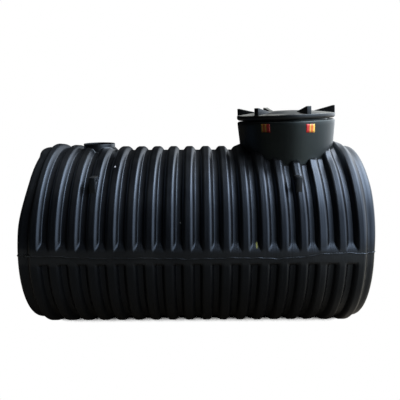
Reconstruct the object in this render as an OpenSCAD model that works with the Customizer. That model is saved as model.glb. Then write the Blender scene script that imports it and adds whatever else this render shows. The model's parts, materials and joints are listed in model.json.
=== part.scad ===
// Ribbed polyethylene septic tank, lying on its side.
// The barrel's axis runs along X, +Z is up and the origin is on the floor under the middle.
// Front is -Y and left is -X. Lengths are in millimetres.

/* [Barrel] */
// Outer radius over the hoops
crest_r = 600; // [450:1:800]
// Height of a hoop above the wall between hoops
rib_h = 27; // [12:1:45]
// Number of hoops
rib_count = 18; // [12:1:26]
// Distance from one hoop to the next
rib_pitch = 112; // [100:1:160]
// Width of a hoop at its foot
rib_base_w = 70; // [56:1:84]
// Width of the flat top of a hoop
rib_top_w = 38; // [20:1:44]
// Plain ring beyond the last hoop at each end
end_ring_w = 43; // [20:1:90]
// Thickness of the moulded wall
wall_t = 8; // [5:0.5:12]
// How far the hoops are flattened where the tank stands
base_flat = 16; // [6:1:24]

/* [Parting band] */
// Height above the axis where the plain band ends and the grooves begin to deepen
band_top = 42; // [20:1:70]
// Height above the axis where the grooves reach their full depth
ramp_top = 88; // [60:1:130]
// Depth below the axis where the lower grooves begin
band_bottom = 40; // [20:1:70]
// Depth below the axis where the lower grooves are full
ramp_bottom = 50; // [30:1:100]

/* [Ends] */
// Bulge of each end at its centre
dish_h = 60; // [30:1:110]
// Radius of the rounded corner between the end and the barrel
knuckle_r = 18; // [14:1:30]

/* [Inlet collar] */
// Radius of the collar's bore
collar_bore_r = 100.5; // [60:0.5:120]
// Thickness of the collar's wall
collar_t = 5.5; // [4:0.5:12]
// Height of the collar's rim above the hoops
collar_h = 22; // [10:1:80]
// Hoops between the left end and the middle of the collar
collar_hoops = 2.5; // [1.5:1:3.5]

/* [Manhole neck] */
// Hoops between the right end and the middle of the neck
neck_hoops = 3; // [3:1:5]
// Outer radius at the shoulder
neck_r = 329; // [260:1:400]
// Height of the shoulder's edge above the hoops
neck_h = 162; // [90:1:260]
// How much the neck narrows for each millimetre down
neck_taper = 0.09; // [0:0.005:0.2]
// Rise of the sloped shoulder
shoulder_h = 12; // [6:1:24]
// Width of the sloped shoulder
shoulder_w = 48; // [24:1:60]
// Height of the throat above the shoulder
throat_h = 46; // [36:1:70]
// Angle at which the neck leans towards the middle of the tank
neck_lean = 2.1; // [0:0.1:4]

/* [Lid] */
// How far the lid reaches past the shoulder
lid_reach = 2; // [0:1:10]
// Height of the lid's rim
lid_rim_h = 40; // [36:1:70]
// Gap between the shoulder's edge and the lid
lid_gap = 24; // [16:1:40]
// Rise of the dome above the rim
lid_dome_h = 26; // [8:1:50]
// Thickness of the lid's wall
lid_t = 6; // [4:0.5:10]
// Radius of the rounded edge at the top of the rim
lid_edge_r = 10; // [8:1:20]
// Radius at which the foot of the rim rolls inwards
lid_roll_r = 16; // [10:1:18]
// Angle of the first grip, clockwise from +X
grip_turn = 14; // [0:1:59]
// Height of a grip at the rim
grip_h = 38; // [16:1:50]
// Width of a grip
grip_w = 32; // [16:1:50]
// Length of a grip
grip_len = 134; // [60:1:150]

/* [Lifting lugs] */
// Hoops between each end and the hoop with the lugs
lug_hoops = 3; // [1:1:6]
// Width of a lug along the tank
lug_w = 38; // [24:1:44]
// Angle of a lug's outer corner above the level
lug_angle = 43.4; // [36:0.1:50]
// Distance from the hoop to that corner
lug_stand = 59; // [48:1:70]
// Radius of the lifting eye
eye_r = 12; // [6:1:14]
// Distance from the eye to the lug's top and to its upright face
eye_in = 27; // [22:1:32]

/* [Fit] */
// Running gap between the lid and the throat
lid_clear = 3; // [2:0.5:6]
// Gap where pieces that move apart rest on each other
seat_gap = 0.3; // [0.1:0.1:1]

/* [Hidden] */
$fn = 96;

black = "#1c1d1f";
charcoal = "#26272a";
slate = "#3a3c3f";

// Barrel: heights that follow are measured from its axis
valley_r = crest_r - rib_h;
axis_z = crest_r - base_flat;
rib_span = (rib_count - 1) * rib_pitch;
half_len = rib_span / 2 + rib_base_w / 2 + end_ring_w;
flank_angle = atan2(rib_h, (rib_base_w - rib_top_w) / 2);
crown_split = -rib_span / 2 + (collar_hoops + 2) * rib_pitch;
core_r = 0.9 * crest_r;
segment_angle = 22.5;
beyond = 2 * (half_len + crest_r);       // reaches past the tank in every direction

// Collar
collar_x = -rib_span / 2 + collar_hoops * rib_pitch;
collar_r = collar_bore_r + collar_t;
collar_low = sqrt(pow(valley_r - wall_t, 2) - pow(collar_r, 2)) - wall_t;
collar_top = crest_r + collar_h;

// Neck
neck_x = rib_span / 2 - neck_hoops * rib_pitch;
neck_top = crest_r + neck_h;
neck_step = 45;                         // angle of one segment of the neck
neck_low = sqrt(pow(valley_r - wall_t, 2) - pow(neck_r, 2)) - wall_t;
neck_low_r = neck_r - neck_taper * (neck_top - neck_low);
throat_r = neck_r - shoulder_w;
throat_base = neck_top + shoulder_h;
throat_top = throat_base + throat_h;

// Lid
lid_r = neck_r + lid_reach;
lid_low = neck_top + lid_gap;
lid_rim_top = lid_low + lid_rim_h;
dome_foot_r = lid_r - lid_edge_r;
dome_r = (pow(dome_foot_r, 2) + pow(lid_dome_h, 2)) / (2 * lid_dome_h);
dome_z = lid_rim_top + lid_dome_h - dome_r;
grip_out_r = lid_r - 2;
grip_in_r = grip_out_r - grip_len;
grip_step = 60;

// Lugs
lug_x = rib_span / 2 - lug_hoops * rib_pitch;
lug_out = (crest_r + lug_stand) * cos(lug_angle);
lug_up = (crest_r + lug_stand) * sin(lug_angle);

function rib_x(k) = k * rib_pitch - rib_span / 2;

// Points [radius, x] of a raised band from x0 to x1 with a hoop's flanks, t inside the wall's face
function hoop_points(x0, x1, t) = let(
    foot = rib_base_w / 2 - t * tan(flank_angle / 2),
    top = rib_top_w / 2 - t * tan(flank_angle / 2)
) [
    [valley_r - t, x0 - foot],
    [crest_r - t, x0 - top],
    [crest_r - t, x1 + top],
    [valley_r - t, x1 + foot]
];

// Points of the groove between two hoops, open at the top
function groove_points(x, t) = let(
    foot = (rib_pitch - rib_base_w) / 2 + t * tan(flank_angle / 2),
    top = (rib_pitch - rib_top_w) / 2 + t * tan(flank_angle / 2)
) [
    [valley_r - t, x - foot],
    [crest_r - t, x - top],
    [crest_r + 1, x - top],
    [crest_r + 1, x + top],
    [crest_r - t, x + top],
    [valley_r - t, x + foot]
];

function hooped_face(t) = concat(
    [[valley_r - t, -half_len]],
    [for (k = [0 : rib_count - 1]) each hoop_points(rib_x(k), rib_x(k), t)],
    [[valley_r - t, half_len]]
);

function reversed(list) = [for (i = [len(list) - 1 : -1 : 0]) list[i]];

function arc(centre, r, a, b, n) = [
    for (i = [0 : n]) let(q = a + (b - a) * i / n) centre + r * [cos(q), sin(q)]
];

// Sector of a solid of revolution about the barrel's axis.
// Angles rise from the front: 0 is the front, 90 the crown and -90 the keel.
module revolve(points, a, b)
    translate([0, 0, axis_z]) rotate([90, 0, -90]) mirror([0, 0, 1]) rotate([0, 0, a])
        rotate_extrude(angle = b - a) polygon(points);

// Hooped wall between two angles
module wall(a, b) revolve(concat(hooped_face(0), reversed(hooped_face(wall_t))), a, b);

// Thick barrel with one band from the first hoop to the last, to a face t inside the wall
module banded(t, a, b, extra) revolve(concat(
    [[core_r - extra, -half_len - extra], [valley_r - t, -half_len - extra]],
    hoop_points(-rib_span / 2, rib_span / 2, t),
    [[valley_r - t, half_len + extra], [core_r - extra, half_len + extra]]
), a, b);

// Space outside the ramp that ends the grooves, t inside the wall's face
module outside_ramp(top, foot, t) {
    crest_end = [-sqrt(pow(crest_r, 2) - pow(top, 2)), top];
    foot_end = [-sqrt(pow(valley_r, 2) - pow(foot, 2)), foot];
    along = (foot_end - crest_end) / norm(foot_end - crest_end);
    inward = [along[1], -along[0]] * t;
    start = crest_end + inward - along * rib_h;
    finish = foot_end + inward + along * rib_h;
    outer = 1.2 * crest_r;
    translate([-beyond / 2, 0, axis_z]) rotate([90, 0, 90]) linear_extrude(beyond)
        polygon([start, finish, [finish[0], outer], [-outer, outer], [-outer, start[1]]]);
}

// Banded barrel with its grooves cut down to the ramp, above the parting line
module grooved(t, top, foot, extra) difference() {
    banded(t, -extra, segment_angle + extra, extra);
    intersection() {
        for (k = [0 : rib_count - 2])
            revolve(groove_points(rib_x(k + 0.5), t), -extra - 1, segment_angle + extra + 1);
        outside_ramp(top, foot, t);
    }
}

// Wall segment beside the parting line, where the grooves run out into a plain band
module waist(top, foot) difference() {
    grooved(0, top, foot, 0);
    grooved(wall_t, top, foot, 1);
}

// Wall segment with the hoops flattened where the tank stands
module keel() {
    intersection() {
        wall(-90, -90 + segment_angle);
        translate([-beyond / 2, -beyond / 2, 0]) cube(beyond);
    }
    intersection() {
        revolve(
            concat([[core_r, -half_len]], hooped_face(0), [[core_r, half_len]]),
            -90, -90 + segment_angle
        );
        translate([-beyond / 2, -beyond / 2, 0]) cube([beyond, beyond, wall_t]);
    }
}

module shoulder() difference() {
    wall(2 * segment_angle, 3 * segment_angle);
    neck_plug();
}

module crown(x0, x1) intersection() {
    difference() {
        wall(3 * segment_angle, 5 * segment_angle);
        neck_plug();
        translate([collar_x, 0, axis_z]) cylinder(h = beyond, r = collar_r);
    }
    translate([x0, -beyond / 2, 0]) cube([x1 - x0, beyond, beyond]);
}

// Shallow dished end with a rounded corner, on the right
module dished_end() {
    hub_r = valley_r - knuckle_r;
    dish_r = (pow(hub_r, 2) + pow(dish_h, 2) - pow(knuckle_r, 2)) / (2 * (dish_h - knuckle_r));
    dish_x = half_len + dish_h - dish_r;
    edge = acos(hub_r / (dish_r - knuckle_r));
    revolve(concat(
        arc([hub_r, half_len], knuckle_r, 0, edge, 6),
        arc([0, dish_x], dish_r, edge, 90, 10),
        arc([0, dish_x], dish_r - wall_t, 90, edge, 10),
        arc([hub_r, half_len], knuckle_r - wall_t, edge, 0, 6)
    ), 0, 360);
}

// Places what stands on the neck's axis, which leans about the middle of the shoulder's edge
module on_neck()
    translate([neck_x, 0, axis_z + neck_top]) rotate([0, -neck_lean, 0])
        translate([0, 0, -neck_top]) children();

// Outer body of the neck, which opens the barrel under it
module neck_plug()
    on_neck() rotate_extrude($fn = 128) polygon([
        [0, neck_low],
        [neck_low_r, neck_low],
        [neck_r, neck_top],
        [0, neck_top]
    ]);

// One of the segments of the neck, counted from +X towards the rear
module neck_stave(k) color(charcoal) difference() {
    on_neck() rotate([0, 0, (k - 1) * neck_step]) rotate_extrude(angle = neck_step) polygon([
        [neck_low_r - wall_t, neck_low],
        [neck_low_r, neck_low],
        [neck_r, neck_top],
        [throat_r, throat_base],
        [throat_r, throat_top],
        [throat_r - wall_t, throat_top],
        [throat_r - wall_t, throat_base - wall_t],
        [neck_r - wall_t, neck_top - wall_t]
    ]);
    translate([0, 0, axis_z]) rotate([0, 90, 0])
        cylinder(h = 2 * half_len, r = valley_r - wall_t, center = true, $fn = 128);
}

module inlet_collar() color(charcoal) translate([collar_x, 0, axis_z + collar_low]) difference() {
    cylinder(h = collar_top - collar_low, r = collar_r);
    translate([0, 0, -1]) cylinder(h = collar_top - collar_low + 2, r = collar_bore_r);
}

// Points of the lid's outer face from its centre to the foot of the rounded edge, t inside it
function lid_face(t) = concat(
    arc([0, dome_z], dome_r - t, 90, acos(dome_foot_r / dome_r), 12),
    arc([dome_foot_r, lid_rim_top - lid_edge_r], lid_edge_r - t, 90, 0, 8)
);

// Points of the foot of the rim, which rolls inwards, t inside the outer face
function lid_roll(t) = arc([lid_r - lid_roll_r, lid_low + lid_roll_r], lid_roll_r - t, 0, -90, 6);

// Domed lid with a rolled rim and an inner ring that rests on the throat
module lid() {
    ring_r = throat_r + lid_clear;
    rest_r = throat_r - wall_t;
    rest_z = throat_top + seat_gap;
    color(slate) on_neck() {
        rotate_extrude($fn = 128) polygon(concat(
            lid_face(0),
            lid_roll(0),
            reversed(lid_roll(lid_t)),
            reversed(lid_face(lid_t))
        ));
        rotate_extrude($fn = 128) polygon([
            [rest_r, rest_z],
            [ring_r, rest_z],
            [ring_r, lid_low + lid_t],
            [ring_r + lid_t, lid_low + lid_t],
            [ring_r + lid_t, dome_height(ring_r + lid_t) - lid_t / 2],
            [rest_r, dome_height(rest_r) - lid_t / 2]
        ]);
    }
}

function dome_height(r) = dome_z + sqrt(pow(dome_r, 2) - pow(r, 2));

// Radial wedge on the lid that rises towards the rim
module lid_grip(k) color(slate) on_neck() difference() {
    rotate([0, 0, -grip_turn - grip_step * (k - 1)]) translate([0, grip_w / 2, 0]) rotate([90, 0, 0])
        linear_extrude(grip_w) polygon([
            [grip_in_r, lid_rim_top - lid_edge_r],
            [grip_out_r, lid_rim_top - lid_edge_r],
            [grip_out_r, lid_rim_top + grip_h],
            [grip_in_r, dome_height(grip_in_r)]
        ]);
    rotate_extrude($fn = 128) polygon(concat(lid_face(0), [[lid_r, 0], [0, 0]]));
}

// Lifting lug on a hoop: level top, upright face and an eye along the tank
module lug(side_x, side_y) color(charcoal) translate([side_x * lug_x, 0, axis_z]) difference() {
    translate([-lug_w / 2, 0, 0]) rotate([90, 0, 90]) linear_extrude(lug_w) polygon([
        [side_y * lug_out, 0.5 * lug_up],
        [side_y * lug_out, lug_up],
        [side_y * sqrt(pow(crest_r, 2) - pow(lug_up, 2)), lug_up],
        [side_y * 0.5 * lug_out, 0.5 * lug_up]
    ]);
    rotate([0, 90, 0]) cylinder(h = 2 * lug_w, r = crest_r, center = true, $fn = 128);
    translate([0, side_y * (lug_out - eye_in), lug_up - eye_in]) rotate([0, 90, 0])
        cylinder(h = 2 * lug_w, r = eye_r, center = true, $fn = 32);
}

module rear() mirror([0, 1, 0]) children();
module below() translate([0, 0, 2 * axis_z]) mirror([0, 0, 1]) children();

module keel_front() color(black) keel();
module keel_rear() color(black) rear() keel();
module haunch_front() color(black) wall(-3 * segment_angle, -2 * segment_angle);
module haunch_rear() color(black) rear() haunch_front();
module bilge_front() color(black) wall(-2 * segment_angle, -segment_angle);
module bilge_rear() color(black) rear() bilge_front();
module waist_low_front() color(black) below() waist(band_bottom, ramp_bottom);
module waist_low_rear() color(black) rear() waist_low_front();
module waist_high_front() color(black) waist(band_top, ramp_top);
module waist_high_rear() color(black) rear() waist_high_front();
module flank_front() color(black) wall(segment_angle, 2 * segment_angle);
module flank_rear() color(black) rear() flank_front();
module shoulder_front() color(black) shoulder();
module shoulder_rear() color(black) rear() shoulder();
module crown_left() color(black) crown(-half_len, crown_split);
module crown_middle() color(black) crown(crown_split, neck_x);
module crown_right() color(black) crown(neck_x, half_len);
module right_end() color(black) dished_end();
module left_end() color(black) mirror([1, 0, 0]) dished_end();

keel_front();
keel_rear();
haunch_front();
haunch_rear();
bilge_front();
bilge_rear();
waist_low_front();
waist_low_rear();
waist_high_front();
waist_high_rear();
flank_front();
flank_rear();
shoulder_front();
shoulder_rear();
crown_left();
crown_middle();
crown_right();
left_end();
right_end();
neck_stave(1);  // neck_stave_1
neck_stave(2);  // neck_stave_2
neck_stave(3);  // neck_stave_3
neck_stave(4);  // neck_stave_4
neck_stave(5);  // neck_stave_5
neck_stave(6);  // neck_stave_6
neck_stave(7);  // neck_stave_7
neck_stave(8);  // neck_stave_8
inlet_collar();
lid();
lid_grip(1);  // lid_grip_1
lid_grip(2);  // lid_grip_2
lid_grip(3);  // lid_grip_3
lid_grip(4);  // lid_grip_4
lid_grip(5);  // lid_grip_5
lid_grip(6);  // lid_grip_6
lug(-1, -1);  // lug_front_left
lug(1, -1);  // lug_front_right
lug(-1, 1);  // lug_rear_left
lug(1, 1);  // lug_rear_right
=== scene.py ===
import json
import math

import bmesh
import bpy
from mathutils import Matrix, Vector, noise


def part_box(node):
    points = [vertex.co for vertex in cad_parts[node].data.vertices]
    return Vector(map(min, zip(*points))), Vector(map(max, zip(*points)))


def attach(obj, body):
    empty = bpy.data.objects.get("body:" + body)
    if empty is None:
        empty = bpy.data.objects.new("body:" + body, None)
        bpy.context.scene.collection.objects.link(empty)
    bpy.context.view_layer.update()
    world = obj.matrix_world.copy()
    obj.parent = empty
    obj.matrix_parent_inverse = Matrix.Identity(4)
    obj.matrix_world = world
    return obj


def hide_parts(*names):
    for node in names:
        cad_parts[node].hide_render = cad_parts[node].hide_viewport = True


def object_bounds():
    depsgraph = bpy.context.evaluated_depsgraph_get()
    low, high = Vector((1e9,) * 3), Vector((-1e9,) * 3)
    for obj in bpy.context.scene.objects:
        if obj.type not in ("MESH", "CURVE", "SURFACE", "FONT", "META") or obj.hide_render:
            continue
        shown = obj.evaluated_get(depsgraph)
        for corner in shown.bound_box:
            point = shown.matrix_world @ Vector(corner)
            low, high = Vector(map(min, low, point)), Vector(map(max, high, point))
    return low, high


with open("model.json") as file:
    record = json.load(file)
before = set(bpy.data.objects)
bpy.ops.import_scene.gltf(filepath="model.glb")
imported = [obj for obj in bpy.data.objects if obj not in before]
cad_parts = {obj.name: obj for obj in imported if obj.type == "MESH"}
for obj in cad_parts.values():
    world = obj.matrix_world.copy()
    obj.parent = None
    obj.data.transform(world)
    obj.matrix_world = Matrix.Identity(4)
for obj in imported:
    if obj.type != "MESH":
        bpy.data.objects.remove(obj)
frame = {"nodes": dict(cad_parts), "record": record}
cadLow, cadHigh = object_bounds()


def nodesOf(*starts):  # the frame's nodes whose names start so
    return [n for n in frame["nodes"] if n.startswith(starts)]


# Places and sizes that the frame gives

waistLow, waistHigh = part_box("waist_high_front")
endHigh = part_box("right_end")[1]
collarLow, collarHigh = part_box("inlet_collar")
lugLow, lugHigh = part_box("lug_front_right")

axisZ = waistLow.z
crestR = -waistLow.y
halfLen = waistHigh.x
valleyR = endHigh.y
dishH = endHigh.x - halfLen
neckX = (lugLow.x + lugHigh.x) / 2  # the right lugs stand beside the neck's axis
neckR = max(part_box(n)[1].y for n in nodesOf("neck_stave"))
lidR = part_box("lid")[1].y
liftAxis = Vector(frame["record"]["behaviour"]["joints"][0]["axis"])
neckLean = math.atan2(-liftAxis.x, liftAxis.z)


# Small helpers for meshes

def ease(t):
    t = min(max(t, 0), 1)
    return t * t * (3 - 2 * t)


def softMax(a, b, k):
    h = max(k - abs(a - b), 0) / k
    return max(a, b) + h * h * k / 4


def softMin(a, b, k):
    return -softMax(-a, -b, k)


def arc(cx, cy, r, a, b, n):  # points of an arc, angles in degrees
    angles = [math.radians(a + (b - a) * i / n) for i in range(n + 1)]
    return [(cx + r * math.cos(q), cy + r * math.sin(q)) for q in angles]


def roundedRim(outer, wall, top, r, n):  # a rim's top, from its outer face to its inner one
    return arc(outer - r, top - r, r, 0, 90, n) + arc(outer - wall + r, top - r, r, 90, 180, n)


def flareOut(r, z, size, angles):  # a foot that spreads by size as it goes down to z
    turns = [math.radians(a) for a in angles]
    return [(r + size * (1 - math.cos(q)), z + size * (1 - math.sin(q))) for q in turns]


def newObject(name, bm, *finishes):
    mesh = bpy.data.meshes.new(name)
    for face in bm.faces:
        face.smooth = True
    bm.to_mesh(mesh)
    bm.free()
    obj = bpy.data.objects.new(name, mesh)
    bpy.context.scene.collection.objects.link(obj)
    for material in finishes:
        mesh.materials.append(material)
    return obj


def turned(points, axis, centre, steps, closed=False):  # a solid of revolution from a chain of points
    bm = bmesh.new()
    verts = [bm.verts.new(p) for p in points]
    pairs = list(zip(verts, verts[1:])) + ([(verts[-1], verts[0])] if closed else [])
    edges = [bm.edges.new(p) for p in pairs]
    bmesh.ops.spin(bm, geom=verts + edges, cent=centre, axis=axis, dvec=(0, 0, 0), angle=math.tau,
                   steps=steps, use_merge=True, use_normal_flip=False, use_duplicate=False)
    bmesh.ops.remove_doubles(bm, verts=bm.verts[:], dist=1e-6)
    bmesh.ops.recalc_face_normals(bm, faces=bm.faces[:])
    return bm


def upright(points, steps, closed=True):  # turned about the local Z axis, from (radius, height)
    return turned([(r, 0, z) for r, z in points], (0, 0, 1), (0, 0, 0), steps, closed)


def joinMeshes(bm, other):
    mesh = bpy.data.meshes.new("part")
    other.to_mesh(mesh)
    other.free()
    bm.from_mesh(mesh)
    bpy.data.meshes.remove(mesh)


def applied(obj):  # makes the modifiers part of the mesh
    graph = bpy.context.evaluated_depsgraph_get()
    mesh = bpy.data.meshes.new_from_object(obj.evaluated_get(graph))
    old = obj.data
    name = old.name
    obj.modifiers.clear()
    obj.data = mesh
    bpy.data.meshes.remove(old)
    mesh.name = name
    return obj


def cut(obj, *plugs):  # takes the plugs' shapes out of the object and deletes the plugs
    for plug in plugs:
        modifier = obj.modifiers.new("cut", "BOOLEAN")
        modifier.operation = "DIFFERENCE"
        modifier.solver = "EXACT"
        modifier.object = plug
    applied(obj)
    for plug in plugs:
        bpy.data.objects.remove(plug)
    return obj


def softened(obj, width, segments=3, angle=30):
    modifier = obj.modifiers.new("edges", "BEVEL")
    modifier.width = width
    modifier.segments = segments
    modifier.limit_method = "ANGLE"
    modifier.angle_limit = math.radians(angle)
    return applied(obj)


def shadeByAngle(obj, angle=35):
    obj.data.set_sharp_from_angle(angle=math.radians(angle))
    return obj


def finished(obj, body, slotName, *nodes):
    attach(obj, body)
    if nodes:
        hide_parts(*nodes)
    return obj


# Camera

cameraAt = {"x": 0.0243, "back": 3.1004, "aboveAxis": 0.852, "tilt": 6.673, "turn": 0.028,
            "roll": -0.256, "focalShare": 1.1171, "rise": -0.0953}


def makeCamera(c):
    data = bpy.data.cameras.new("camera")
    obj = bpy.data.objects.new("camera", data)
    bpy.context.scene.collection.objects.link(obj)
    data.sensor_width = 36
    data.lens = 36 * c["focalShare"]
    data.shift_y = c["rise"]
    data.clip_end = 100
    place = Matrix.Translation((c["x"], -c["back"], axisZ + c["aboveAxis"]))
    heading = Matrix.Rotation(math.radians(-c["turn"]), 4, "Z")
    level = Matrix.Rotation(math.radians(90 - c["tilt"]), 4, "X")
    lean = Matrix.Rotation(math.radians(c["roll"]), 4, "Z")
    obj.matrix_world = place @ heading @ level @ lean
    bpy.context.scene.camera = obj


makeCamera(cameraAt)
print("camera done")


# Shader maths

class Wire:  # a socket that can stand in a sum
    def __init__(self, graph, socket):
        self.graph = graph
        self.socket = socket

    def maths(self, operation, a, b=0.0, clamp=False):
        return self.graph.make("ShaderNodeMath", {"operation": operation, "use_clamp": clamp}, [a, b])

    def __add__(self, other):
        return self.maths("ADD", self, other)

    def __radd__(self, other):
        return self.maths("ADD", other, self)

    def __sub__(self, other):
        return self.maths("SUBTRACT", self, other)

    def __rsub__(self, other):
        return self.maths("SUBTRACT", other, self)

    def __mul__(self, other):
        return self.maths("MULTIPLY", self, other)

    def __rmul__(self, other):
        return self.maths("MULTIPLY", other, self)

    def __neg__(self):
        return self.maths("MULTIPLY", self, -1.0)

    def __abs__(self):
        return self.maths("ABSOLUTE", self)

    def clamped(self):
        return self.maths("ADD", self, 0.0, True)

    def above(self, low, high):  # 0 below low, 1 above high
        return self.graph.make("ShaderNodeMapRange", {"interpolation_type": "SMOOTHSTEP"},
                               {"Value": self, "From Min": low, "From Max": high})


class Graph:  # a node tree, and one method that makes any of its nodes
    def __init__(self, tree):
        self.tree = tree

    def make(self, nodeType, settings, inputs, output=0):
        node = self.tree.nodes.new(nodeType)
        for key, value in settings.items():
            setattr(node, key, value)
        pairs = inputs.items() if isinstance(inputs, dict) else enumerate(inputs)
        for key, value in pairs:
            self.join(node.inputs[key], value)
        return Wire(self, node.outputs[output])

    def join(self, socket, value):
        if isinstance(value, Wire):
            self.tree.links.new(value.socket, socket)
        else:
            socket.default_value = value

    def parts(self, vector):
        node = self.tree.nodes.new("ShaderNodeSeparateXYZ")
        self.tree.links.new(vector.socket, node.inputs[0])
        return [Wire(self, node.outputs[i]) for i in range(3)]

    def vector(self, x, y, z):
        return self.make("ShaderNodeCombineXYZ", {}, [x, y, z])

    def mixed(self, share, a, b):
        return self.make("ShaderNodeMix", {"data_type": "RGBA"}, {"Factor": share, 6: a, 7: b}, 2)


class Finish(Graph):  # a material on the object's own coordinates
    def __init__(self, name):
        self.material = bpy.data.materials.new(name)
        self.material.use_nodes = True
        super().__init__(self.material.node_tree)
        self.shader = self.tree.nodes["Principled BSDF"]
        self.place = self.make("ShaderNodeTexCoord", {}, {}, "Object")

    def noise(self, scale, detail=2.0, rough=0.5, place=None):
        return self.make("ShaderNodeTexNoise", {}, {"Vector": place or self.place, "Scale": scale,
                                                    "Detail": detail, "Roughness": rough})

    def spots(self, scale, size, share):  # small round spots on a share of the cells
        cells = self.make("ShaderNodeTexVoronoi", {}, {"Vector": self.place, "Scale": scale}, "Distance")
        chance = self.make("ShaderNodeTexVoronoi", {}, {"Vector": self.place, "Scale": scale}, "Color")
        kept = self.parts(chance)[0].above(1 - share, 1 - share + 0.02)
        return (1 - cells.above(size * 0.5, size)) * kept

    def daub(self, at, size):  # an uneven smear on the front, at (x, z)
        x, y, z = self.parts(self.place)
        across, up = (x - at[0]) * (1 / size[0]), (z - at[1]) * (1 / size[1])
        blot = (1.3 - across * across - up * up - self.noise(90.0)).above(0.0, 0.4)
        return blot * (-y).above(0.0, 0.05)

    def bump(self, height, depth, strength=1.0, under=None):
        inputs = {"Height": height, "Distance": depth, "Strength": strength}
        if under:
            inputs["Normal"] = under
        return self.make("ShaderNodeBump", {}, inputs)

    def feed(self, **inputs):
        names = {"colour": "Base Color", "roughness": "Roughness", "normal": "Normal",
                 "tint": "Specular Tint"}
        for key, value in inputs.items():
            self.join(self.shader.inputs[names[key]], value)
        return self.material


def opaque(colour, factor=1.0):
    return (*[c * factor for c in colour], 1)


# Finishes: black polyethylene, rougher and dustier from the wall to the lid

smears = [{"at": (0.353, axisZ + 0.067), "size": (0.007, 0.020), "colour": (0.17, 0.17, 0.03)},
          {"at": (-0.505, axisZ + 0.50), "size": (0.006, 0.005), "colour": (0.45, 0.45, 0.5)}]
finishes = {
    "wall": {"colour": (0.0022, 0.0023, 0.0026), "rough": 0.31, "tint": (0.60, 0.75, 1.0),
             "dust": 0.05, "dustColour": (0.12, 0.118, 0.11), "streaks": 1.0, "smears": smears},
    "neck": {"colour": (0.0035, 0.0042, 0.0042), "rough": 0.38, "tint": (0.72, 0.92, 1.0),
             "dust": 0.15, "dustColour": (0.14, 0.14, 0.13), "streaks": 0.3, "smears": []},
    "lid": {"colour": (0.0045, 0.0048, 0.005), "rough": 0.38, "tint": (0.74, 0.86, 1.0),
            "dust": 1.0, "dustColour": (0.19, 0.18, 0.155), "streaks": 0.2, "smears": []},
    "fitting": {"colour": (0.003, 0.0032, 0.0035), "rough": 0.34, "tint": (0.72, 0.84, 1.0),
                "dust": 0.15, "dustColour": (0.15, 0.15, 0.145), "streaks": 0.3, "smears": []},
}
speck = {"scale": 11.0, "size": 0.05, "share": 0.10, "colour": (0.25, 0.26, 0.27), "cover": 0.6}


def polyethylene(name, p):
    f = Finish(name + "Polyethylene")
    x, y, z = f.parts(f.place)
    up = f.parts(f.make("ShaderNodeNewGeometry", {}, {}, "Normal"))[2]
    turn = x.maths("ARCTAN2", z - axisZ, -y)
    patches = f.noise(4.0, 5.0, 0.6)
    grain = f.noise(170.0, 3.0, 0.6)
    fine = f.noise(800.0, 2.0, 0.5)
    drawn = f.noise(1.0, 4.0, 0.65, f.vector(x * 95.0, turn * 1.3, 3.0))  # long marks round the barrel
    rubbed = f.noise(1.0, 3.0, 0.6, f.vector(x * 16.0, turn * 30.0, 5.0)).above(0.62, 0.78)
    specks = f.spots(speck["scale"], speck["size"], speck["share"]) * speck["cover"]
    weathered = (-x).above(0.55, 1.0) * (z - axisZ).above(0.3, 0.55) * p["streaks"]
    lower = (axisZ - z).above(0.06, 0.2) * p["streaks"]
    bandSheenAndDust = (1 - abs(z - axisZ).above(0.035, 0.06)) * p["streaks"]  # the band at the parting line, painted lighter: partly dust, partly a painted reflection of its sheen
    settled = up.above(0.25, 0.97) * patches.above(0.3, 0.7) * p["dust"]
    worn = (drawn.above(0.58, 0.8) * 0.35 + rubbed * 0.2) * p["streaks"]
    thin = worn * (0.05 + lower * 0.07) + bandSheenAndDust * patches * 0.10 + grain.above(0.68, 0.85) * 0.03
    dustAndSheen = (settled + thin + weathered * 0.012).clamped()
    base = f.mixed(patches.above(0.3, 0.75), opaque(p["colour"], 0.7), opaque(p["colour"], 1.3))
    # this mix carries the dust and also the band's painted sheen
    dustAndSheenColour = f.mixed(dustAndSheen, base, opaque(p["dustColour"]))
    colour = f.mixed(specks, dustAndSheenColour, opaque(speck["colour"]))
    for smear in p["smears"]:
        colour = f.mixed(f.daub(smear["at"], smear["size"]), colour, opaque(smear["colour"]))
    dull = worn * 0.30 + settled * 0.3 + weathered * 0.12
    roughness = p["rough"] + (patches - 0.5) * 0.10 + dull + (grain - 0.5) * 0.08
    soft = f.bump(f.noise(9.0, 2.0, 0.5), 0.0022, 0.5)
    lines = f.bump(drawn, 0.0015 * p["streaks"], 0.5, soft)
    top = f.bump(grain + fine * 0.4, 0.00022 - 0.00016 * p["streaks"], 0.5, lines)
    return f.feed(colour=colour, roughness=roughness.clamped(), normal=top, tint=opaque(p["tint"]))


wallFinish, neckFinish, lidFinish, fittingFinish = [polyethylene(n, finishes[n]) for n in finishes]
print("finishes done")


# Barrel: one moulding with its hoops, parting band and dished ends

# foot and top are a hoop's widths, shift moves the row of hoops to the right, edge and root round it
barrel = {"hoops": 18, "pitch": 0.112, "foot": 0.084, "top": 0.047, "shift": 0.009, "wall": 0.008,
          "knuckle": 0.018, "bandTop": 0.042, "rampTop": 0.088, "bandBottom": 0.040, "rampBottom": 0.050,
          "edge": 0.0155, "root": 0.0035, "rampEdge": 0.006, "heel": 0.1, "seed": 452.5, "ripple": 0.0010,
          "rows": 184, "crowding": 0.6, "insideRows": 72}
# distances of the skin's columns from the middle of a hoop
hoopColumns = [0.010, 0.014, 0.0175, 0.0205, 0.0235, 0.0265, 0.0295, 0.033, 0.037, 0.0402, 0.042, 0.0438]
# how far the crown rises towards the ends, and how far each end is out of true
ends = {"rise": 0.027, "riseTo": 0.97, "leftPull": 0.024, "leftFrom": 0.90, "leftOver": 0.13,
        "rightPush": 0.016, "rightFrom": 0.97, "rightOver": 0.06}
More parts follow.
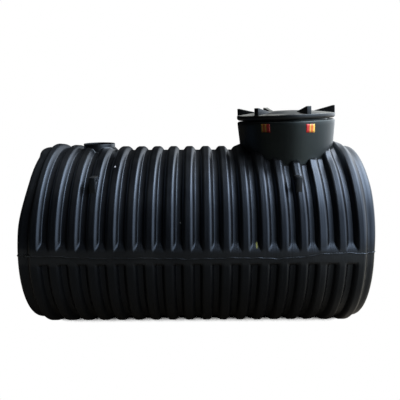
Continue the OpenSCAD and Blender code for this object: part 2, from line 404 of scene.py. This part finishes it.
# where the crown runs up to the neck
neckFoot = {"x": 0.008, "r": 0.305, "rise": 0.018, "reach": 0.055}
hoopH = crestR - valleyR
hoopSpan = (barrel["hoops"] - 1) * barrel["pitch"]


def hoopHeight(x):  # how far the hoops stand out of the wall at x
    along = x + hoopSpan / 2 - barrel["shift"]
    k = min(max(round(along / barrel["pitch"]), 0), barrel["hoops"] - 1)
    aside = along - k * barrel["pitch"]
    slope = 2 * hoopH / (barrel["foot"] - barrel["top"])
    height = slope * (barrel["foot"] / 2 - abs(aside))
    odd = max(noise.cell(Vector((k + 0.5, barrel["seed"], 0.5))) - 0.5, 0) / 0.4  # an odd hoop heels over
    crest = hoopH - odd * barrel["heel"] * (aside + 0.023)
    return softMin(softMax(height, 0, barrel["root"]), crest, barrel["edge"])


def bandHeight(x, z):  # the plain band beside the parting line, and the ramps up to it
    if abs(x - barrel["shift"]) > hoopSpan / 2:
        return 0.0
    if z > 0:
        share = (barrel["rampTop"] - z) / (barrel["rampTop"] - barrel["bandTop"])
    else:
        share = (barrel["rampBottom"] + z) / (barrel["rampBottom"] - barrel["bandBottom"])
    return softMin(softMax(share * hoopH, 0, barrel["rampEdge"]), hoopH, barrel["rampEdge"])


def skinRadius(x, z):  # outer radius of the barrel at x, z above its axis
    height = softMax(hoopHeight(x), bandHeight(x, z), 0.005)
    return valleyR + min(height, hoopH)


def riseAt(x, up):  # how far the crown stands up towards the ends; up is 1 at the crown
    along = min(abs(x), ends["riseTo"])
    return ends["rise"] * along ** 5 * max(up, 0) ** 2


def footRise(x, y):  # how far the crown runs up to the foot of the neck
    gap = math.hypot(x - neckX - neckFoot["x"], y) - neckFoot["r"]
    return neckFoot["rise"] * ease(1 - gap / neckFoot["reach"])


def endShift(x, q):  # how the upper part of each end is out of true along the tank
    if q <= 0 or q >= math.pi:
        return 0.0
    up = math.sin(q)
    if x < 0:
        height = ease((up - 0.25) / 0.5) * (1 - ease((up - 0.93) / 0.07))
        return ends["leftPull"] * height * ease((-x - ends["leftFrom"]) / ends["leftOver"])
    return ends["rightPush"] * min(1.6 * up, 1) * ease((x - ends["rightFrom"]) / ends["rightOver"])


def surfaceZ(x, y):  # height of the upper skin over a point
    r = skinRadius(x, crestR)
    rise = math.sqrt(max(r * r - y * y, 0))
    return axisZ + rise + riseAt(x, rise / r)


def endProfile(inside):  # (radius, x) from the corner of the right end to its centre
    knuckle = barrel["knuckle"]
    hub = valleyR - knuckle
    dishR = (hub ** 2 + dishH ** 2 - knuckle ** 2) / (2 * (dishH - knuckle))
    centre = halfLen + dishH - dishR
    edge = math.degrees(math.acos(hub / (dishR - knuckle)))
    corner = arc(hub, halfLen, knuckle - inside, 0, edge, 5)
    dish = arc(0, centre, dishR - inside, edge, 90, 14)
    return corner + dish[1:]


def barrelColumns():  # where the skin's columns stand along the barrel
    offsets = sorted([-o for o in hoopColumns] + hoopColumns)
    first = barrel["shift"] - hoopSpan / 2
    xs = [first + k * barrel["pitch"] + o for k in range(barrel["hoops"]) for o in offsets]
    ring = [halfLen - 0.014, halfLen - 0.005]
    return [-r for r in reversed(ring)] + xs + ring


def makeBarrelSkin():
    rightEnd = endProfile(0)
    leftEnd = [(r, -x) for r, x in reversed(rightEnd)]
    middle = [(valleyR, x) for x in barrelColumns()]
    points = [(x, -r, axisZ) for r, x in leftEnd + middle + rightEnd]
    bm = turned(points, (1, 0, 0), (0, 0, axisZ), barrel["rows"])
    for v in bm.verts:
        radius = math.hypot(v.co.y, v.co.z - axisZ)
        if radius < 1e-5:
            continue
        even = math.atan2(v.co.z - axisZ, -v.co.y)
        q = even - barrel["crowding"] / 2 * math.sin(2 * even)  # rows crowd towards the parting line
        x = v.co.x
        if abs(x) < halfLen:
            radius = skinRadius(x, crestR * math.sin(q))
        share = min(radius / valleyR, 1)
        wave = noise.noise(Vector((x * 2.2, math.cos(q) * 1.7, math.sin(q) * 1.7)))
        radius += barrel["ripple"] * (wave - 0.6) * share
        v.co.x += endShift(x, q) * ease(share)
        v.co.y = -radius * math.cos(q)
        v.co.z = axisZ + radius * math.sin(q) + riseAt(x, math.sin(q) * share)
        if v.co.z > axisZ:
            v.co.z += footRise(x, v.co.y)
        v.co.z = max(v.co.z, cadLow.z)
    return bm


def makeBarrelInside():
    wall = barrel["wall"]
    rightEnd = endProfile(wall)
    leftEnd = [(r, -x) for r, x in reversed(rightEnd)]
    first = barrel["shift"] - hoopSpan / 2
    outline = ((-0.031, 0), (-0.015, hoopH), (0.015, hoopH), (0.031, 0))  # one hoop from inside
    middle = [(valleyR - wall + high, first + k * barrel["pitch"] + offset)
              for k in range(barrel["hoops"]) for offset, high in outline]
    points = [(x, -r, axisZ) for r, x in leftEnd + middle + rightEnd]
    bm = turned(points, (1, 0, 0), (0, 0, axisZ), barrel["insideRows"])
    for v in bm.verts:
        up = (v.co.z - axisZ) / valleyR
        share = min(math.hypot(v.co.y, v.co.z - axisZ) / valleyR, 1)
        v.co.x += endShift(v.co.x, math.atan2(v.co.z - axisZ, -v.co.y)) * ease(share)
        v.co.z = max(v.co.z + riseAt(v.co.x, min(up, 1)), cadLow.z + wall)
    bmesh.ops.reverse_faces(bm, faces=bm.faces[:])
    return bm


# Neck: a cone that narrows downwards, a sloped shoulder and a throat with a thread

neck = {"rise": 0.162, "taper": 0.09, "wall": 0.008, "shoulderRise": 0.012, "shoulder": 0.048,
        "throat": 0.046, "edge": 0.014, "rim": 0.003, "flare": 0.003, "sink": 0.0015, "steps": 160}
thread = {"low": 0.010, "pitch": 0.014, "turns": 1.6, "proud": 0.0018, "crest": 0.0015, "root": 0.004,
          "steps": 150}
neckTop = axisZ + crestR + neck["rise"]
throatR = neckR - neck["shoulder"]
onNeck = Matrix.Translation((neckX, 0, neckTop)) @ Matrix.Rotation(-neckLean, 4, "Y")


def coneR(z):  # outer radius of the neck, z from the shoulder's edge
    return neckR + neck["taper"] * z


def insideZ(y):  # height of the wall's inner face over a point
    r = valleyR - barrel["wall"]
    return axisZ + math.sqrt(max(r * r - y * y, 0))


def localSurface(x, y, inside):  # height of the barrel over a point of the neck's own frame
    z = -0.2
    for _ in range(3):
        p = onNeck @ Vector((x, y, z))
        target = surfaceZ(p.x, p.y) if not inside else insideZ(p.y)
        z += target - p.z
    return z


def makeNeck():
    wall, edge, flare = neck["wall"], neck["edge"], neck["flare"]
    foot = -0.25  # where the skins end before they are drawn to the barrel
    fillet = flareOut(coneR(foot), foot, flare, (90, 70, 50, 30, 10, 0))
    cone = [(coneR(z), z) for z in (-0.20, -0.15, -0.10, -0.05, -0.015)]
    lip = arc(neckR - edge, 0.003, edge, 0, 86, 7)
    rise, top = neck["shoulderRise"], neck["shoulderRise"] + neck["throat"]
    root = arc(throatR + 0.005, rise + 0.004, 0.005, 260, 180, 4)
    rim = roundedRim(throatR, wall, top, neck["rim"], 3)
    under = [(throatR - wall, rise - wall), (neckR - wall, -wall)]
    inner = [(coneR(z) - wall, z) for z in (-0.08, -0.16)] + [(coneR(foot) - wall, foot)]
    bm = upright(fillet + cone + lip + root + rim + under + inner, neck["steps"])
    for v in bm.verts:  # stretch the cone down to the barrel
        if v.co.z > -0.012:
            continue
        r = math.hypot(v.co.x, v.co.y)
        extra = r - coneR(v.co.z)
        inside = extra < -wall / 2
        low = localSurface(v.co.x, v.co.y, inside) - (0.0 if inside else neck["sink"])
        z = v.co.z * low / foot if v.co.z > foot + flare + 1e-6 else low + v.co.z - foot
        scale = (coneR(z) + extra) / r
        v.co = (v.co.x * scale, v.co.y * scale, z)
    bmesh.ops.transform(bm, matrix=onNeck, verts=bm.verts[:])
    bmesh.ops.recalc_face_normals(bm, faces=bm.faces[:])
    return bm


def makeThread():  # a raised thread round the throat
    bm = bmesh.new()
    start = neck["shoulderRise"] + thread["low"]
    inR, outR = throatR - 0.001, throatR + thread["proud"]
    section = [(inR, start - thread["root"]), (outR, start - thread["crest"]),
               (outR, start + thread["crest"]), (inR, start + thread["root"])]
    verts = [bm.verts.new((r, 0, z)) for r, z in section]
    face = bm.faces.new(verts)
    steps, turns = thread["steps"], thread["turns"]
    bmesh.ops.spin(bm, geom=[face] + verts + list(face.edges), cent=(0, 0, 0), axis=(0, 0, 1),
                   dvec=(0, 0, thread["pitch"] * turns / steps), angle=math.tau * turns, steps=steps,
                   use_merge=False, use_normal_flip=False, use_duplicate=False)
    bmesh.ops.recalc_face_normals(bm, faces=bm.faces[:])
    bmesh.ops.transform(bm, matrix=onNeck, verts=bm.verts[:])
    return bm


def neckPlug():  # the hole under the neck
    low, high, inset = -0.6, -0.10, 0.004  # its edge lies inside the neck's wall
    points = [(0, low), (coneR(low) - inset, low), (coneR(high) - inset, high), (0, high)]
    bm = upright(points, 128, False)
    bmesh.ops.transform(bm, matrix=onNeck, verts=bm.verts[:])
    return newObject("plug", bm, wallFinish)


# Inlet collar

collar = {"bore": 0.1005, "flare": 0.008, "rim": 0.0026, "sink": 0.0015, "steps": 96}
collarX = (collarLow.x + collarHigh.x) / 2
collarR = (collarHigh.x - collarLow.x) / 2
collarTop = collarHigh.z


def makeCollar():
    flare, wall = collar["flare"], collarR - collar["bore"]
    foot = collarTop - 0.06  # where the skins end before they are drawn to the barrel
    fillet = flareOut(collarR, foot, flare, (90, 65, 40, 20, 0))
    lip = roundedRim(collarR, wall, collarTop, collar["rim"], 4)
    bm = upright(fillet + lip + [(collarR - wall, foot)], collar["steps"])
    for v in bm.verts:
        v.co.x += collarX
        if v.co.z > foot + flare + 1e-6:
            continue
        inside = math.hypot(v.co.x - collarX, v.co.y) < collarR - wall / 2
        ground = insideZ(v.co.y) if inside else surfaceZ(v.co.x, v.co.y) - collar["sink"]
        v.co.z += ground - foot
    bmesh.ops.recalc_face_normals(bm, faces=bm.faces[:])
    return bm


def collarPlug():  # the hole under the collar
    r, low, high = collarR - 0.0027, axisZ + 0.4, axisZ + 0.7  # its edge lies inside the collar's wall
    bm = upright([(0, low), (r, low), (r, high), (0, high)], collar["steps"], False)
    bmesh.ops.translate(bm, vec=(collarX, 0, 0), verts=bm.verts[:])
    return newObject("plug", bm, wallFinish)


def buildTank():
    bm = makeBarrelSkin()
    joinMeshes(bm, makeBarrelInside())
    obj = newObject("barrel", bm, wallFinish)
    cut(obj, neckPlug(), collarPlug())
    strips = nodesOf("keel", "haunch", "bilge", "waist", "flank", "shoulder", "crown")
    finished(obj, "tank", "wall", *strips, "left_end", "right_end")
    print("barrel done", len(obj.data.polygons))
    finished(newObject("neck", makeNeck(), neckFinish), "tank", "neck", *nodesOf("neck_stave"))
    finished(newObject("throatThread", makeThread(), neckFinish), "tank", "neck")
    finished(newObject("inletCollar", makeCollar(), fittingFinish), "tank", "fitting", "inlet_collar")


buildTank()
print("neck and collar done")


# Parting flash: the thin ragged seam where the two halves of the mould met

flash = {"radius": 0.0044, "steps": 520, "right": 0.026, "left": 0.013, "low": -0.004,
         "waves": [(0.003, 11, 2), (0.0016, 37, 0), (0.001, 83, 5)]}  # size, waves along x, waves along y


def flashPath():
    xs = [-halfLen + 2 * halfLen * i / flash["steps"] for i in range(flash["steps"] + 1)]
    front = [(x, -skinRadius(x, 0)) for x in xs]
    corner = [(x, -r) for r, x in endProfile(0)[1:]]  # to the middle of the right end
    quarter = front[flash["steps"] // 2:] + corner
    right = quarter + [(x, -y) for x, y in reversed(quarter[:-1])]
    loop = right + [(-x, y) for x, y in reversed(right[1:-1])]
    points = []
    for x, y in loop:
        swing = flash["right"] * ease((x - 0.45) / 0.4) + flash["left"] * ease(-(x + 0.3) / 0.6)
        ripple = sum(size * math.sin(a * x + b * y) for size, a, b in flash["waves"])
        points.append(Vector((x, y, axisZ + flash["low"] + swing + ripple)))
    return points


def makeFlash():
    curve = bpy.data.curves.new("partingFlash", "CURVE")
    curve.dimensions = "3D"
    curve.bevel_depth = flash["radius"]
    curve.bevel_resolution = 1
    points = flashPath()
    spline = curve.splines.new("POLY")
    spline.points.add(len(points) - 1)
    for place, p in zip(spline.points, points):
        place.co = (*p, 1)
    spline.use_cyclic_u = True
    obj = bpy.data.objects.new("partingFlash", curve)
    bpy.context.scene.collection.objects.link(obj)
    mesh = bpy.data.meshes.new_from_object(obj.evaluated_get(bpy.context.evaluated_depsgraph_get()))
    bpy.data.objects.remove(obj)
    seam = bpy.data.objects.new("partingFlash", mesh)
    bpy.context.scene.collection.objects.link(seam)
    mesh.materials.clear()
    mesh.materials.append(wallFinish)
    return finished(seam, "tank", "wall")


makeFlash()
print("flash done")


# Lid: a dome with a rolled rim, six wedge grips and a ring that rests on the throat

lid = {"low": 0.024, "rim": 0.034, "dome": 0.025, "wall": 0.006, "edge": 0.007, "roll": 0.018,
       "clear": 0.003, "seat": 0.0003, "steps": 144}
grip = {"count": 6, "turn": 14, "length": 0.134, "width": 0.032, "height": 0.048, "inset": 0.002,
        "flat": 0.012, "edge": 0.0035}


def domeHeight(r):
    foot = lidR - lid["edge"]
    radius = (foot ** 2 + lid["dome"] ** 2) / (2 * lid["dome"])
    return lid["low"] + lid["rim"] + lid["dome"] - radius + math.sqrt(radius ** 2 - r ** 2)


def lidSkin(t):  # from the centre to the lip of the rolled rim, t inside the outer face
    foot = lidR - lid["edge"]
    dome = [(foot * i / 10, domeHeight(foot * i / 10) - t) for i in range(10)]
    edge = arc(foot, lid["low"] + lid["rim"] - lid["edge"], lid["edge"] - t, 90, 0, 8)
    roll = arc(lidR - lid["roll"], lid["low"] + lid["roll"], lid["roll"] - t, 0, -90, 7)
    return dome + edge + roll


def makeLid():
    ringR = throatR + lid["clear"]
    restR = throatR - neck["wall"]
    restZ = neck["shoulderRise"] + neck["throat"] + lid["seat"]
    t = lid["wall"]
    ring = [(restR, restZ), (ringR, restZ), (ringR, lid["low"] + t), (ringR + t, lid["low"] + t),
            (ringR + t, domeHeight(ringR + t) - t / 2), (restR, domeHeight(restR) - t / 2)]
    bm = upright(lidSkin(0) + list(reversed(lidSkin(t))), lid["steps"], False)
    joinMeshes(bm, upright(ring, lid["steps"]))
    bmesh.ops.transform(bm, matrix=onNeck, verts=bm.verts[:])
    return bm


def makeGrip(k):
    out = lidR - grip["inset"]
    inner = out - grip["length"]
    rimTop = lid["low"] + lid["rim"]
    top = rimTop + grip["height"]
    outline = [(inner, rimTop), (out, rimTop - lid["edge"]), (out, top), (out - grip["flat"], top),
               (inner, domeHeight(inner) + 0.001)]
    bm = bmesh.new()
    face = bm.faces.new([bm.verts.new((r, -grip["width"] / 2, z)) for r, z in outline])
    grown = bmesh.ops.extrude_face_region(bm, geom=[face])["geom"]
    verts = [g for g in grown if isinstance(g, bmesh.types.BMVert)]
    bmesh.ops.translate(bm, vec=(0, grip["width"], 0), verts=verts)
    bmesh.ops.bevel(bm, geom=bm.edges[:], offset=grip["edge"], offset_type="OFFSET", affect="EDGES",
                    segments=3, profile=0.5, material=-1)
    bmesh.ops.recalc_face_normals(bm, faces=bm.faces[:])
    turn = Matrix.Rotation(math.radians(-grip["turn"] - 360 / grip["count"] * k), 4, "Z")
    bmesh.ops.transform(bm, matrix=onNeck @ turn, verts=bm.verts[:])
    return bm


finished(newObject("lid", makeLid(), lidFinish), "lid", "lid", "lid")
for k in range(grip["count"]):
    finished(newObject(f"lidGrip{k + 1}", makeGrip(k), lidFinish), "lid", "lid", f"lid_grip_{k + 1}")
print("lid done")


# Lifting lugs

lug = {"edge": 0.0035, "eye": 0.012, "eyeIn": 0.027, "foot": 0.5, "sink": 0.02, "seat": 0.004}


def rod(x1, x2, r, y, z, steps):  # a round plug along the tank
    bm = turned([(x1, 0, 0), (x1, r, 0), (x2, r, 0), (x2, 0, 0)], (1, 0, 0), (0, 0, 0), steps)
    bmesh.ops.translate(bm, vec=(0, y, z), verts=bm.verts[:])
    return newObject("plug", bm, fittingFinish)


def makeLug(name, node, sideY):
    low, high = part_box(node)
    outY = sideY * max(abs(low.y), abs(high.y))
    top, bottom = high.z, axisZ + (high.z - axisZ) * lug["foot"]
    wallY = sideY * math.sqrt(crestR ** 2 - (top - axisZ) ** 2)
    outline = [(outY, bottom), (outY, top), (wallY - sideY * lug["sink"], top), (outY * 0.5, bottom)]
    bm = bmesh.new()
    face = bm.faces.new([bm.verts.new((low.x, y, z)) for y, z in outline])
    grown = bmesh.ops.extrude_face_region(bm, geom=[face])["geom"]
    bmesh.ops.translate(bm, vec=(high.x - low.x, 0, 0),
                        verts=[g for g in grown if isinstance(g, bmesh.types.BMVert)])
    bmesh.ops.recalc_face_normals(bm, faces=bm.faces[:])
    obj = newObject(name, bm, fittingFinish)
    eye = rod(low.x - 0.01, high.x + 0.01, lug["eye"], outY - sideY * lug["eyeIn"], top - lug["eyeIn"], 40)
    inside = rod(low.x - 0.02, high.x + 0.02, crestR - lug["seat"], 0, axisZ, 160)  # what the barrel fills
    cut(obj, eye, inside)
    softened(obj, lug["edge"])
    finished(shadeByAngle(obj), "tank", "fitting", node)


for node in nodesOf("lug_"):
    words = node.split("_")
    makeLug("lug" + "".join(w.capitalize() for w in words[1:]), node, 1 if "rear" in words else -1)
print("lugs done")


# Stripes on the front of the neck: plain coloured film, no lettering

stripes = {"low": -0.055, "high": -0.002, "proud": 0.0005, "thick": 0.0008, "left": -128.3, "right": -77.7,
           "widths": [4.2, 1.8, 2.2, 2.5], "films": [0, 1, 2, 1]}


def film(name, colour, rough=0.32):
    f = Finish(name)
    worn = f.noise(60.0, 4.0, 0.6)
    paintedLitShare = f.parts(f.place)[0].above(neckX - 0.2, neckX + 0.15)  # the left stripes are painted darker, a painted shade for their side away from the light
    paintedShadeColour = f.mixed(paintedLitShare, opaque(colour, 0.20), opaque(colour))
    shade = f.mixed(worn.above(0.45, 0.8) * 0.4, paintedShadeColour, opaque(colour, 0.3))
    return f.feed(colour=shade, roughness=(rough + worn * 0.2).clamped(),
                  normal=f.bump(f.noise(40.0), 0.0004, 0.4))


stripeFilms = [film("redFilm", (0.78, 0.035, 0.035)), film("yellowFilm", (1.0, 0.58, 0.10)),
               film("orangeFilm", (0.90, 0.16, 0.04))]


def addFilm(bm, start, width, kind):  # one stripe, angles in degrees round the neck
    columns = max(2, round(width / 1.5))
    sheet = bmesh.ops.create_grid(bm, x_segments=columns, y_segments=4, size=0.5)["verts"]
    for v in sheet:
        a = math.radians(start + width * (v.co.x + 0.5))
        level = -math.tan(neckLean) * neckR * math.cos(a)  # the stripes lie level, though the neck leans
        z = level + stripes["low"] + (stripes["high"] - stripes["low"]) * (v.co.y + 0.5)
        r = coneR(z) + stripes["proud"]
        v.co = (r * math.cos(a), r * math.sin(a), z)
    for face in {f for v in sheet for f in v.link_faces}:
        face.material_index = kind


def makeStripes():
    bm = bmesh.new()
    pairs = list(zip(stripes["widths"], stripes["films"]))
    for start, order in ((stripes["left"], reversed(pairs)), (stripes["right"], pairs)):
        for width, kind in order:
            addFilm(bm, start, width, kind)
            start += width
    bmesh.ops.remove_doubles(bm, verts=bm.verts[:], dist=1e-6)
    bmesh.ops.solidify(bm, geom=bm.faces[:], thickness=stripes["thick"])
    bmesh.ops.recalc_face_normals(bm, faces=bm.faces[:])
    bmesh.ops.transform(bm, matrix=onNeck, verts=bm.verts[:])
    return finished(newObject("neckStripes", bm, *stripeFilms), "tank", "neck")


makeStripes()
print("stripes done")


# Floor, backdrop and light

floor = {"size": 5, "shadow": (0.048, 0.070), "reach": 1.5,
         "near": (0.085, 0.072, 0.056), "sunny": (0.55, 0.48, 0.38)}
light = {"shade": 0.013, "above": 0.06, "side": 2.8, "window": 11.4, "colour": (0.88, 0.94, 1.0)}


def makeFloor():
    bm = bmesh.new()
    bmesh.ops.create_grid(bm, x_segments=1, y_segments=1, size=floor["size"])
    f = Finish("stageFloor")
    seen = f.make("ShaderNodeLightPath", {}, {}, "Is Camera Ray")
    clear = f.make("ShaderNodeAmbientOcclusion", {"samples": 64}, {"Distance": floor["reach"]}, "AO")
    shadow = clear.above(*floor["shadow"])
    white = f.make("ShaderNodeEmission", {}, {"Color": (1, 1, 1, 1), "Strength": shadow})
    # the floor's colour is painted lighter to the right: a painted pool of light that the tank reflects
    right = f.parts(f.place)[0].above(0.8, 1.9)
    ground = f.mixed(right, opaque(floor["near"]), opaque(floor["sunny"]))
    pale = f.make("ShaderNodeBsdfDiffuse", {}, {"Color": ground})
    chosen = f.make("ShaderNodeMixShader", {}, [seen, pale, white])
    f.join(f.tree.nodes["Material Output"].inputs["Surface"], chosen)
    newObject("stageFloor", bm, f.material)


def makeWorld():  # a bright sky on the right, a brighter glow in it, and shade on the left
    world = bpy.data.worlds.new("studio")
    bpy.context.scene.world = world
    world.use_nodes = True
    world.node_tree.nodes.clear()
    g = Graph(world.node_tree)
    way = g.make("ShaderNodeTexCoord", {}, {}, "Generated")
    x, y, z = g.parts(way)
    base = light["shade"] + z.above(0.0, 0.6) * x.above(-0.12, 0.25) * light["above"]
    side = x.above(0.05, 0.7) * z.above(-0.3, 0.05) * light["side"]
    depth = (1 - y.above(0.15, 0.75) * 0.76) * (0.32 + y.above(-0.75, -0.3) * 0.68)  # less behind and before
    window = x.above(0.19, 0.48) * z.above(0.5, 0.9) * depth * light["window"]
    seen = g.make("ShaderNodeLightPath", {}, {}, "Is Camera Ray")
    strength = base + side + window
    lit = g.make("ShaderNodeBackground", {}, {"Color": opaque(light["colour"]), "Strength": strength})
    white = g.make("ShaderNodeBackground", {}, {"Color": (1, 1, 1, 1), "Strength": 1.0})
    out = g.make("ShaderNodeMixShader", {}, [seen, lit, white])
    end = g.tree.nodes.new("ShaderNodeOutputWorld")
    g.join(end.inputs["Surface"], out)


makeFloor()
makeWorld()
bpy.context.scene.view_settings.view_transform = "Standard"
print("stage done")
